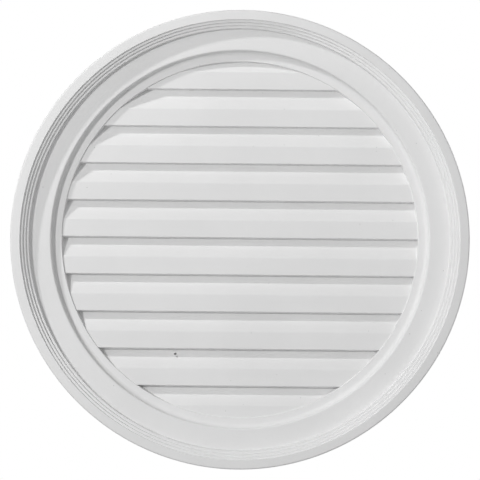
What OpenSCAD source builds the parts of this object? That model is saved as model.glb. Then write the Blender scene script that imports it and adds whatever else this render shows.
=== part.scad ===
// Round decorative gable vent, moulded in one piece with closed louvres.
// The back lies in the plane y = 0, the front faces -Y and +Z is up. Millimetres.

/* [Outside] */
// Diameter over the outside edge, where the back meets the wall
outer_diameter = 558.8; // [500:0.1:700]
// Distance from the wall to the ridge, the foremost line of the ring
projection = 57; // [54:0.5:75]
// How far the outside wall draws in from the back to the front
side_draft = 1; // [0.2:0.1:3]
// Rounding of the outside front edge
edge_round = 1.5; // [0.5:0.1:3]

/* [Rim] */
// Distance from the outside edge to the ridge, across the sloping band
band_width = 11.6; // [8:0.1:18]
// Fall of the sloping band from the ridge to the outside edge
band_fall = 0.4; // [0.2:0.1:5]
// Width of the flat along the ridge
ridge_width = 0.5; // [0.3:0.1:3]
// Number of fine treads inside the ridge
tread_count = 3; // [1:1:4]
// Width of each fine tread, riser to riser
tread_width = 3.6; // [2:0.1:5]
// Height of each fine riser
riser_height = 3.6; // [1:0.1:4.5]
// Rounding of the nosing on each tread
nosing_round = 0.3; // [0.1:0.05:0.8]

/* [Cove and lip] */
// Height of the riser between the last tread and the cove
cove_riser = 8.2; // [4:0.1:11]
// Width of the hollow of the cove
cove_width = 21.3; // [12:0.1:30]
// Fall of the cove from the riser to the lip
cove_fall = 0.8; // [0.4:0.1:4]
// Width of the flat between the cove and the lip's corner
lip_width = 4.5; // [3:0.1:9]
// Rounding of the lip's corner
lip_round = 2; // [0.5:0.1:4]
// Height of the lip above the inner band
lip_height = 11; // [7:0.1:13]
// Rounding at the foot of the lip
foot_round = 5.3; // [1:0.1:7]
// Width of the inner band, from the foot of the lip to the opening
inner_band = 11.5; // [8:0.1:20]
// Rounding of the opening's edge
opening_round = 0.6; // [0.2:0.1:1.5]

/* [Louvres] */
// Distance between the louvres, centre to centre
louvre_pitch = 45; // [36:0.5:60]
// Height of the lower edge of the middle louvre above the centre
louvre_rise = 2.7; // [-10:0.1:10]
// Height of each louvre's upright face
face_height = 20.7; // [12:0.1:28]
// Setback of the louvre faces from the inner band
face_setback = 2.3; // [1.5:0.1:6]
// Depth of the recess under each louvre, from its face
recess_depth = 12.8; // [8:0.1:17]
// Rounding of each louvre's lower edge
nose_round = 0.5; // [0.2:0.1:2]
// Rounding of the crease between a face and its slope
crease_round = 6; // [1:0.5:12]
// Rounding at the bottom of each recess
recess_round = 0.6; // [0.2:0.1:1.5]

/* [Mould] */
// Draft of every riser, lip wall and recess wall
draft_angle = 8; // [3:0.5:12]

/* [Hidden] */
$fn = 240;
primer = "whitesmoke";

// How far the louvre panel is buried in the ring that carries it
bond = 3;
// Chords in a small rounding, and in the cove
round_chords = 3;
cove_chords = 6;

function draft(depth) = depth * tan(draft_angle);

// Levels above the wall, from the ridge down to the bottom of the recesses
edge_level = projection - band_fall;
last_tread_level = projection - tread_count * riser_height;
cove_level = last_tread_level - cove_riser;
lip_level = cove_level - cove_fall;
band_level = lip_level - lip_height;
face_level = band_level - face_setback;
recess_level = face_level - recess_depth;
backing_level = recess_level / 2;

// Radii, from the outside edge in to the opening
outer_radius = outer_diameter / 2;
ridge_radius = outer_radius - band_width;
first_riser_radius = ridge_radius - ridge_width;
last_riser_radius = first_riser_radius - tread_count * tread_width;
cove_radius = last_riser_radius - draft(cove_riser);
cove_floor_radius = cove_radius - cove_width;
lip_radius = cove_floor_radius - lip_width;
foot_radius = lip_radius - draft(lip_height);
opening_radius = foot_radius - inner_band;
recess_radius = opening_radius - draft(band_level - backing_level);

// The cove is an arc that runs level where it meets the lip's flat
cove_arc_radius = (pow(cove_width, 2) + pow(cove_fall, 2)) / (2 * cove_fall);
cove_arc_angle = asin(cove_width / cove_arc_radius);

louvre_reach = ceil(opening_radius / louvre_pitch) + 1;
underside_drop = draft(recess_depth);

function unit(v) = v / norm(v);
function turn(from, to) = (to - from + 540) % 360 - 180;

// Points that round the corner b, on the way from a to c
function rounded_corner(a, b, c, radius) =
    let (
        back = unit(a - b),
        ahead = unit(c - b),
        half = acos(back * ahead) / 2,
        centre = b + unit(back + ahead) * radius / sin(half),
        first = b + back * radius / tan(half) - centre,
        last = b + ahead * radius / tan(half) - centre,
        start = atan2(first.y, first.x),
        sweep = turn(start, atan2(last.y, last.x))
    )
    [for (i = [0 : round_chords])
        let (angle = start + sweep * i / round_chords)
        centre + radius * [cos(angle), sin(angle)]];

// Outline from corners given as [x, y, rounding], where a rounding of 0 is sharp
function rounded_outline(corners) =
    let (count = len(corners))
    [for (i = [0 : count - 1])
        let (
            before = corners[(i + count - 1) % count],
            here = corners[i],
            after = corners[(i + 1) % count],
            corner = [here.x, here.y]
        )
        each here.z == 0
            ? [corner]
            : rounded_corner([before.x, before.y], corner, [after.x, after.y], here.z)];

// Two corners for each fine tread: the nosing above its riser, and the riser's foot
function tread_corners() =
    [for (i = [0 : tread_count - 1])
        let (
            radius = first_riser_radius - i * tread_width,
            level = projection - i * riser_height
        )
        each [[radius, level, nosing_round], [radius - draft(riser_height), level - riser_height, 0]]];

function cove_corners() =
    [for (i = [0 : cove_chords])
        let (angle = cove_arc_angle * (1 - i / cove_chords))
        [cove_floor_radius + cove_arc_radius * sin(angle),
         lip_level + cove_arc_radius * (1 - cos(angle)),
         0]];

// Half section of the ring and its backing, as radius and level above the wall
module ring_section() {
    polygon(rounded_outline(concat(
        [
            [0, 0, 0],
            [outer_radius, 0, 0],
            [outer_radius - side_draft, edge_level, edge_round],
            [ridge_radius, projection, 0]
        ],
        tread_corners(),
        [[last_riser_radius, last_tread_level, nosing_round]],
        cove_corners(),
        [
            [lip_radius, lip_level, lip_round],
            [foot_radius, band_level, foot_round],
            [opening_radius, band_level, opening_round],
            [recess_radius, backing_level, 0],
            [0, backing_level, 0]
        ]
    )));
}

// Three corners for each louvre: its crease, its lower edge and the recess under it
function louvre_corners() =
    [for (i = [louvre_reach : -1 : -louvre_reach])
        let (edge = louvre_rise + i * louvre_pitch)
        each [
            [face_level, edge + face_height, crease_round],
            [face_level, edge, nose_round],
            [recess_level, edge - underside_drop, recess_round]
        ]];

// Section through the louvres, as level above the wall and height
module louvre_section() {
    top = louvre_rise + (louvre_reach + 1) * louvre_pitch;
    bottom = louvre_rise - (louvre_reach + 1) * louvre_pitch;
    root = backing_level - min(bond, backing_level / 2);
    mirror([1, 0])
        polygon(rounded_outline(concat(
            [[root, bottom, 0], [root, top, 0], [recess_level, top, 0]],
            louvre_corners(),
            [[recess_level, bottom, 0]]
        )));
}

module ring() {
    rotate([90, 0, 0])
        rotate_extrude()
            ring_section();
}

module louvre_panel() {
    panel_radius = opening_radius + bond;
    intersection() {
        rotate([90, 0, 90])
            linear_extrude(2 * (panel_radius + bond), center = true)
                louvre_section();
        rotate([90, 0, 0])
            cylinder(h = projection, r = panel_radius);
    }
}

module gable_vent() {
    color(primer) {
        ring();
        louvre_panel();
    }
}

gable_vent();
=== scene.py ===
import math

import bmesh
import bpy
from mathutils import Matrix, Vector


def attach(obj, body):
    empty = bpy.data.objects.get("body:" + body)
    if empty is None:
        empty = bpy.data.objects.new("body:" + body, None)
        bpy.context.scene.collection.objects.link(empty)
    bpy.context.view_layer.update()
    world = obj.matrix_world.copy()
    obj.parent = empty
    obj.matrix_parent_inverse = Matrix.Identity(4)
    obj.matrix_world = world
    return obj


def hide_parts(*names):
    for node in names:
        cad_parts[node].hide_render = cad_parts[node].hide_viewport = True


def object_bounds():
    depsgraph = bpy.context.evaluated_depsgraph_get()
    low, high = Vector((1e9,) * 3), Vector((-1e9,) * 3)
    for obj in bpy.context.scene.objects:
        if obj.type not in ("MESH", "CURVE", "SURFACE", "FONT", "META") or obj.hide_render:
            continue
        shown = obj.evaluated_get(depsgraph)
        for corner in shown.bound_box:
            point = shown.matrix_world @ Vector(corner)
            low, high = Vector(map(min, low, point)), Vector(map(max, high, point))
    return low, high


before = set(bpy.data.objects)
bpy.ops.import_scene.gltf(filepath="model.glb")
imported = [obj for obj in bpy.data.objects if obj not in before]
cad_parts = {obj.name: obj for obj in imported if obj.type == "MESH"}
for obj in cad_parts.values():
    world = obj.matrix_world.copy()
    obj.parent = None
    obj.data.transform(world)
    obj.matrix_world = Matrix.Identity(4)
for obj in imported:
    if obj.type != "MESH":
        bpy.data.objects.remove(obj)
cad_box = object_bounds()

# The ring: the rim of the vent, cast in rigid foam in one shot with the louvres.
# From the ridge it steps down over fine treads to a shallow cove, a lip and an inner band.
# Every riser and wall leans by the mould's draft, and every edge is slightly soft.
MM = 0.001
STEPS_ROUND = 360
DRAFT = math.tan(math.radians(8))
WELD = 0.001 * MM

outer_radius = cad_box[1].x
projection = -cad_box[0].y
side_draft = 1 * MM
band_width = 11.6 * MM
band_fall = 0.4 * MM
ridge_width = 0.5 * MM
tread_count = 3
tread_width = 3.6 * MM
riser_height = 3.6 * MM
cove_riser = 8.2 * MM
cove_width = 21.3 * MM
cove_fall = 0.8 * MM
lip_width = 4.5 * MM
lip_height = 11 * MM
inner_band = 11.5 * MM
face_setback = 2.3 * MM
recess_depth = 12.8 * MM

edge_soft = 1.5 * MM
ridge_soft = ridge_width / 3
nosing_soft = 0.35 * MM
cove_foot_soft = 0.6 * MM
lip_soft = 1.8 * MM
lip_foot_soft = 4.6 * MM
opening_soft = 0.5 * MM
soft_segments = 4
cove_segments = 10

edge_level = projection - band_fall
last_tread_level = projection - tread_count * riser_height
lip_level = last_tread_level - cove_riser - cove_fall
band_level = lip_level - lip_height
face_level = band_level - face_setback
recess_level = face_level - recess_depth
backing_level = recess_level / 2

ridge_radius = outer_radius - band_width
first_riser_radius = ridge_radius - ridge_width
last_riser_radius = first_riser_radius - tread_count * tread_width
cove_radius = last_riser_radius - cove_riser * DRAFT
cove_floor_radius = cove_radius - cove_width
lip_radius = cove_floor_radius - lip_width
foot_radius = lip_radius - lip_height * DRAFT
opening_radius = foot_radius - inner_band

# Corners of the half section, from the back's centre out, round the front and in again:
# radius, level above the wall, and how far along each side the corner's rounding starts.
ring_corners = [
    (0, 0, 0),
    (outer_radius, 0, nosing_soft),
    (outer_radius - side_draft, edge_level, edge_soft),
    (ridge_radius, projection, ridge_soft),
]
for i in range(tread_count):
    radius = first_riser_radius - i * tread_width
    level = projection - i * riser_height
    ring_corners.append((radius, level, nosing_soft if i else ridge_soft))
    ring_corners.append((radius - riser_height * DRAFT, level - riser_height, nosing_soft))
ring_corners += [
    (last_riser_radius, last_tread_level, nosing_soft),
    (cove_radius, lip_level + cove_fall, cove_foot_soft),
    (cove_floor_radius + cove_width / 2, lip_level, cove_width / 2 - cove_foot_soft),
    (lip_radius, lip_level, lip_soft),
    (foot_radius, band_level, lip_foot_soft),
    (opening_radius, band_level, opening_soft),
    (opening_radius - (band_level - backing_level) * DRAFT, backing_level, 0),
    (0, backing_level, 0),
]

ring_shape = bmesh.new()
corner_verts = [ring_shape.verts.new((radius, -level, 0)) for radius, level, _ in ring_corners]
for here, after in zip(corner_verts, corner_verts[1:]):
    ring_shape.edges.new((here, after))
for corner, (_, _, soft) in zip(corner_verts, ring_corners):
    if soft:
        bmesh.ops.bevel(
            ring_shape, geom=[corner], offset=soft, offset_type="OFFSET", affect="VERTICES",
            segments=cove_segments if soft > lip_foot_soft else soft_segments, profile=0.5, material=-1,
        )
bmesh.ops.spin(
    ring_shape, geom=ring_shape.verts[:] + ring_shape.edges[:], cent=(0, 0, 0), axis=(0, 1, 0),
    angle=math.tau, steps=STEPS_ROUND, use_merge=True,
)
bmesh.ops.remove_doubles(ring_shape, verts=ring_shape.verts, dist=WELD)
bmesh.ops.recalc_face_normals(ring_shape, faces=ring_shape.faces)


def make_piece(name, shape):
    """Turns a finished bmesh into an object at the origin."""
    mesh = bpy.data.meshes.new(name)
    shape.to_mesh(mesh)
    shape.free()
    piece = bpy.data.objects.new(name, mesh)
    bpy.context.scene.collection.objects.link(piece)
    return piece


vent = make_piece("gable_vent_moulding", ring_shape)

# The louvres: closed slats in the same shot of foam, with no slot or screen behind them.
# Each has an upright face, a slope that runs back under the slat above, and a drafted underside.
# The panel's edge is buried in the ring, so the slats end against the wall of the opening.
louvre_pitch = 45 * MM
louvre_rise = 2.7 * MM
face_height = 20.7 * MM
nose_soft = 0.4 * MM
crease_soft = 1.5 * MM
recess_soft = 0.4 * MM
crease_segments = 3
bond = 3 * MM
underside_drop = recess_depth * DRAFT
panel_radius = opening_radius + bond
louvre_reach = math.ceil(panel_radius / louvre_pitch)

# Height, level and rounding of each line that runs along the louvres, from the bottom up
louvre_lines = []
for i in range(-louvre_reach, louvre_reach + 1):
    lower_edge = louvre_rise + i * louvre_pitch
    louvre_lines += [
        (lower_edge - underside_drop, recess_level, recess_soft),
        (lower_edge, face_level, nose_soft),
        (lower_edge + face_height, face_level, crease_soft),
    ]


def louvre_level(height):
    """Level of the louvres' section above the wall at a height."""
    for (low, low_level, _), (high, high_level, _) in zip(louvre_lines, louvre_lines[1:]):
        if low <= height <= high:
            return low_level + (high_level - low_level) * (height - low) / (high - low)
    return face_level


panel_shape = bmesh.new()
bmesh.ops.create_circle(
    panel_shape, cap_ends=True, radius=panel_radius, segments=STEPS_ROUND,
    matrix=Matrix.Rotation(math.radians(90), 4, "X"),
)
for height, _, _ in louvre_lines:
    bmesh.ops.bisect_plane(
        panel_shape, geom=panel_shape.verts[:] + panel_shape.edges[:] + panel_shape.faces[:],
        plane_co=(0, 0, height), plane_no=(0, 0, 1),
    )
for vert in panel_shape.verts:
    vert.co.y = -louvre_level(vert.co.z)
for height, _, soft in louvre_lines:
    crease = [
        edge for edge in panel_shape.edges
        if not edge.is_boundary and all(abs(v.co.z - height) < WELD for v in edge.verts)
    ]
    bmesh.ops.bevel(
        panel_shape, geom=crease, offset=soft, offset_type="OFFSET", affect="EDGES",
        segments=crease_segments, profile=0.5, material=-1,
    )
panel_rim = [edge for edge in panel_shape.edges if edge.is_boundary]
for root in bmesh.ops.extrude_edge_only(panel_shape, edges=panel_rim)["geom"]:
    if isinstance(root, bmesh.types.BMVert):
        root.co.y = -backing_level / 2
open_edges = [edge for edge in panel_shape.edges if edge.is_boundary]
bmesh.ops.holes_fill(panel_shape, edges=open_edges, sides=0)
bmesh.ops.recalc_face_normals(panel_shape, faces=panel_shape.faces)
louvre_panel = make_piece("louvre_panel", panel_shape)


def fuse(piece, other, operation):
    """Joins the other solid to the piece, or cuts it away, and removes the other."""
    boolean = piece.modifiers.new(operation, "BOOLEAN")
    boolean.operation = operation
    boolean.solver = "EXACT"
    boolean.object = other
    bpy.context.view_layer.update()
    evaluated = piece.evaluated_get(bpy.context.evaluated_depsgraph_get())
    fused = bpy.data.meshes.new_from_object(evaluated)
    welded = bmesh.new()
    welded.from_mesh(fused)
    bmesh.ops.remove_doubles(welded, verts=welded.verts, dist=WELD)
    welded.to_mesh(fused)
    welded.free()
    piece.modifiers.clear()
    piece.data = fused
    bpy.data.objects.remove(other)


fuse(vent, louvre_panel, "UNION")

# The flaws of this casting: a nick in one slope, where a crumb of foam tore out in the mould,
# and a few shallow dents and chips in the louvres. All are cut into the solid, under the primer.
# Each has its x and height, half its width and height, its depth, a tail and its turn in degrees.
flaws = [
    (-77.5, -139.5, 1.5, 1.6, 5.6, 0.5, 0),
    (-75.0, -142.6, 0.8, 1.3, 3.2, 0, 0),
    (168.4, 24.2, 1.2, 0.7, 0.4, 0.6, 10),
    (184.8, 24.9, 1.4, 0.7, 0.4, 0.4, -15),
    (78.2, 108.0, 0.8, 0.7, 0.5, 0, 0),
    (69.4, 138.3, 0.9, 0.6, 0.5, 0.5, 30),
]
flaw_shape = bmesh.new()
for x, height, half_width, half_height, depth, tail, turn in flaws:
    pit = bmesh.ops.create_icosphere(flaw_shape, subdivisions=3, radius=1)["verts"]
    for vert in pit:
        vert.co.x *= 1 + tail * max(0, vert.co.x)
    bmesh.ops.scale(flaw_shape, verts=pit, vec=(half_width * MM, depth * MM, half_height * MM))
    bmesh.ops.rotate(
        flaw_shape, verts=pit, cent=(0, 0, 0), matrix=Matrix.Rotation(math.radians(-turn), 3, "Y"),
    )
    bmesh.ops.translate(
        flaw_shape, verts=pit, vec=(x * MM, -louvre_level(height * MM), height * MM),
    )
fuse(vent, make_piece("flaws", flaw_shape), "DIFFERENCE")

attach(vent, "root")
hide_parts("gable_vent")

crisp_angle = math.radians(28)
vent.data.shade_smooth()
vent.data.set_sharp_from_angle(angle=crisp_angle)
even_shading = vent.modifiers.new("even_shading", "WEIGHTED_NORMAL")
even_shading.keep_sharp = True
even_shading.weight = 80


# The primer: a matt white coat sprayed on the whole front, thin enough to show the foam's skin.
# It has a faint mottle, a fine orange peel and grain, and a pinhole here and there, painted dark grey
# as the shade in its pit.
# The back, which goes against the wall, has only patchy overspray on the foam's skin; its bubbles are
# painted darker, as the shade in the pores.
class Shade:
    """A socket of a shader tree. Sums with it add Math nodes to the tree."""

    def __init__(self, tree, socket=None):
        self.tree = tree
        self.socket = socket

    def node(self, kind, settings, sockets, output=0):
        """Adds a node: its settings first, then the values or links of its sockets."""
        node = self.tree.nodes.new("ShaderNode" + kind)
        for name, setting in settings.items():
            setattr(node, name, setting)
        for name, value in sockets.items():
            if isinstance(value, Shade):
                self.tree.links.new(value.socket, node.inputs[name])
            else:
                node.inputs[name].default_value = value
        return Shade(self.tree, node.outputs[output] if node.outputs else None)

    def other(self, output):
        """Another output of the same node."""
        return Shade(self.tree, self.socket.node.outputs[output])

    def maths(self, operation, first, second):
        return self.node("Math", {"operation": operation}, {0: first, 1: second})

    def between(self, low, high):
        """A mask that rises smoothly from 0 at low to 1 at high."""
        return self.node(
            "MapRange", {"interpolation_type": "SMOOTHSTEP"},
            {"Value": self, "From Min": low, "From Max": high},
        )

    def blend(self, below, above):
        """The colour below where this mask is 0, and the colour above where it is 1."""
        return self.node("Mix", {"data_type": "RGBA"}, {0: self, 6: below, 7: above}, 2)

    def __add__(self, other):
        return self.maths("ADD", self, other)

    __radd__ = __add__

    def __sub__(self, other):
        return self.maths("SUBTRACT", self, other)

    def __rsub__(self, other):
        return self.maths("SUBTRACT", other, self)

    def __mul__(self, other):
        return self.maths("MULTIPLY", self, other)

    __rmul__ = __mul__


def grey(tone):
    """A neutral colour of one tone."""
    return (tone, tone, tone, 1)


full_coat = grey(0.872)
thin_coat = grey(0.848)
# Painted shade: the dark grey inside each pinhole stands in for the shade in its tiny pit
pinhole_painted_shade = grey(0.5)
overspray = (0.84, 0.835, 0.82, 1)
foam_skin = (0.8, 0.785, 0.74, 1)
# Painted shade: a darker copy of the foam's colour inside the bubbles stands in for the shade in those
# pores
bubble_painted_shade = (0.66, 0.64, 0.58, 1)
mottle_scale = 9
peel_scale = 420
grain_scale = 1900
pinhole_scale = 55
bubble_scale = 70
overspray_scale = 14
peel_height = 0.05 * MM
back_start = 1.2 * MM
back_whole = 0.2 * MM
sheen = 0.1

primer = bpy.data.materials.new("white_primer")
primer.use_nodes = True
primer.node_tree.nodes.clear()
coat = Shade(primer.node_tree)
place = coat.node("TexCoord", {}, {}, "Object")


def pattern(kind, scale, **sockets):
    """A noise or cell pattern fixed to the moulding, finer the larger its scale."""
    return coat.node(kind, {}, {"Vector": place, "Scale": scale, **sockets})


mottle = pattern("TexNoise", mottle_scale, Detail=3)
peel = pattern("TexNoise", peel_scale, Detail=2)
grain = pattern("TexNoise", grain_scale, Detail=1)
pinholes = 1 - pattern("TexVoronoi", pinhole_scale).between(0.012, 0.04)
bubbles = 1 - pattern("TexVoronoi", bubble_scale).between(0.05, 0.1)
patches = pattern("TexNoise", overspray_scale, Detail=5, Distortion=0.6)
back = coat.node("SeparateXYZ", {}, {"Vector": place}, "Y").between(-back_start, -back_whole)
front_colour = mottle.between(0.35, 0.65).blend(thin_coat, full_coat)
back_colour = bubbles.blend(patches.between(0.4, 0.62).blend(foam_skin, overspray), bubble_painted_shade)
colour = back.blend(pinholes.blend(front_colour, pinhole_painted_shade), back_colour)
# Heights as multiples of the orange peel's own
relief = peel + 0.5 * grain - 3 * pinholes - 8 * back * bubbles
bumps = coat.node("Bump", {}, {"Strength": 1, "Distance": peel_height, "Height": relief})
primer_surface = coat.node("BsdfPrincipled", {}, {
    "Base Color": colour,
    "Roughness": 0.66 + 0.12 * mottle + 0.06 * grain + 0.1 * back,
    "Specular IOR Level": sheen,
    "Normal": bumps,
})
coat.node("OutputMaterial", {}, {"Surface": primer_surface})
vent.data.materials.clear()
vent.data.materials.append(primer)

# The floor: a pale painted studio floor well below the vent, which hangs clear of it.
# To the eye it fades to white, and it keeps the vent's shadow.
# It throws less light back on the vent than it shows, as a floor further off does.
floor_drop = 0.9
floor_half = 1.5
floor_fade = 0.6
floor_clean = grey(0.86)
floor_worn = grey(0.8)
floor_bounce = grey(0.5)
floor_shape = bmesh.new()
bmesh.ops.create_grid(floor_shape, size=floor_half)
bmesh.ops.translate(floor_shape, verts=floor_shape.verts, vec=(0, 0, -floor_drop))
floor = make_piece("floor", floor_shape)


def seen_rays(shade):
    """A mask that is 1 for the rays that carry what is seen, direct or in a reflection."""
    camera_ray = shade.node("LightPath", {}, {}, "Is Camera Ray")
    shine = shade.maths("MAXIMUM", camera_ray, camera_ray.other("Is Glossy Ray"))
    return shade.maths("MAXIMUM", shine, camera_ray.other("Is Transmission Ray"))


floor_paint = bpy.data.materials.new("pale_floor")
floor_paint.use_nodes = True
floor_paint.node_tree.nodes.clear()
boards = Shade(floor_paint.node_tree)
floor_seen = seen_rays(boards)
scuffs = boards.node("TexNoise", {}, {
    "Vector": boards.node("TexCoord", {}, {}, "Object"), "Scale": 6, "Detail": 4,
})
floor_surface = boards.node("BsdfPrincipled", {}, {
    "Base Color": floor_seen.blend(floor_bounce, scuffs.blend(floor_worn, floor_clean)),
    "Roughness": 0.8,
})
white_glow = boards.node("Emission", {}, {"Color": grey(1), "Strength": 1})
floor_mix = boards.node("MixShader", {}, {
    0: floor_seen * floor_fade, 1: floor_surface, 2: white_glow,
})
boards.node("OutputMaterial", {}, {"Surface": floor_mix})
floor.data.materials.append(floor_paint)


# The lamps: two small ones on the left draw the crisp shadows of the lip and the louvres' lower edges.
# A large soft one over the front lifts the walls that face up and away.
# Another, behind on the right, lights the outside wall and the back.
def add_lamp(name, azimuth, lean, distance, size, power):
    """An area lamp: azimuth as seen in the picture, lean from straight in front, in degrees."""
    lamp = bpy.data.lights.new(name, "AREA")
    lamp.shape = "DISK"
    lamp.size = size
    lamp.energy = power
    stand = bpy.data.objects.new(name, lamp)
    bpy.context.scene.collection.objects.link(stand)
    turn = math.radians(azimuth)
    tilt = math.radians(lean)
    way = Vector((
        math.sin(tilt) * math.cos(turn), -math.cos(tilt), math.sin(tilt) * math.sin(turn),
    ))
    stand.location = way * distance
    stand.rotation_mode = "QUATERNION"
    stand.rotation_quaternion = way.to_track_quat("Z", "Y")
    stand.visible_camera = False


add_lamp("side_lamp", azimuth=163, lean=32.4, distance=5, size=0.16, power=81.5)
add_lamp("upper_lamp", azimuth=136, lean=61.9, distance=2.15, size=0.1, power=13.7)
add_lamp("front_lamp", azimuth=92, lean=38.7, distance=1.3, size=0.9, power=1)
add_lamp("rim_lamp", azimuth=0, lean=110, distance=1.4, size=0.9, power=5)

# The room: white to the eye and in reflections, as a studio with white walls is.
# On the vent it casts a soft light, most of it from straight ahead and from straight behind.
light_ahead = 0.445
light_behind = 1.15
world = bpy.data.worlds.new("white_room")
bpy.context.scene.world = world
world.use_nodes = True
world.node_tree.nodes.clear()
room = Shade(world.node_tree)
way_y = room.node("SeparateXYZ", {}, {"Vector": room.node("TexCoord", {}, {}, "Generated")}, "Y")
ahead = room.maths("MAXIMUM", way_y * -light_ahead, 0)
behind = room.maths("MAXIMUM", way_y * light_behind, 0)
room_seen = seen_rays(room)
glow = room_seen + (1 - room_seen) * (ahead + behind)
walls = room.node("Background", {}, {"Color": grey(1), "Strength": glow})
room.node("OutputWorld", {}, {"Surface": walls})

# The camera: straight in front and far off, with a long lens, so that walls hardly splay.
# It is turned by the small roll that the louvres show, and stands a touch below the centre.
camera_distance = 20
camera_drop = 0.3 * MM
camera_roll = math.radians(-0.56)
frame_width = 581.9 * MM
sensor_width = 36
camera = bpy.data.objects.new("camera", bpy.data.cameras.new("camera"))
bpy.context.scene.collection.objects.link(camera)
camera.data.sensor_width = sensor_width
camera.data.lens = sensor_width * (camera_distance - projection) / frame_width
camera.data.clip_end = 2.5 * camera_distance
camera.location = (0, -camera_distance, -camera_drop)
camera.rotation_euler = (math.radians(90), camera_roll, 0)
bpy.context.scene.camera = camera
bpy.context.scene.view_settings.view_transform = "Standard"
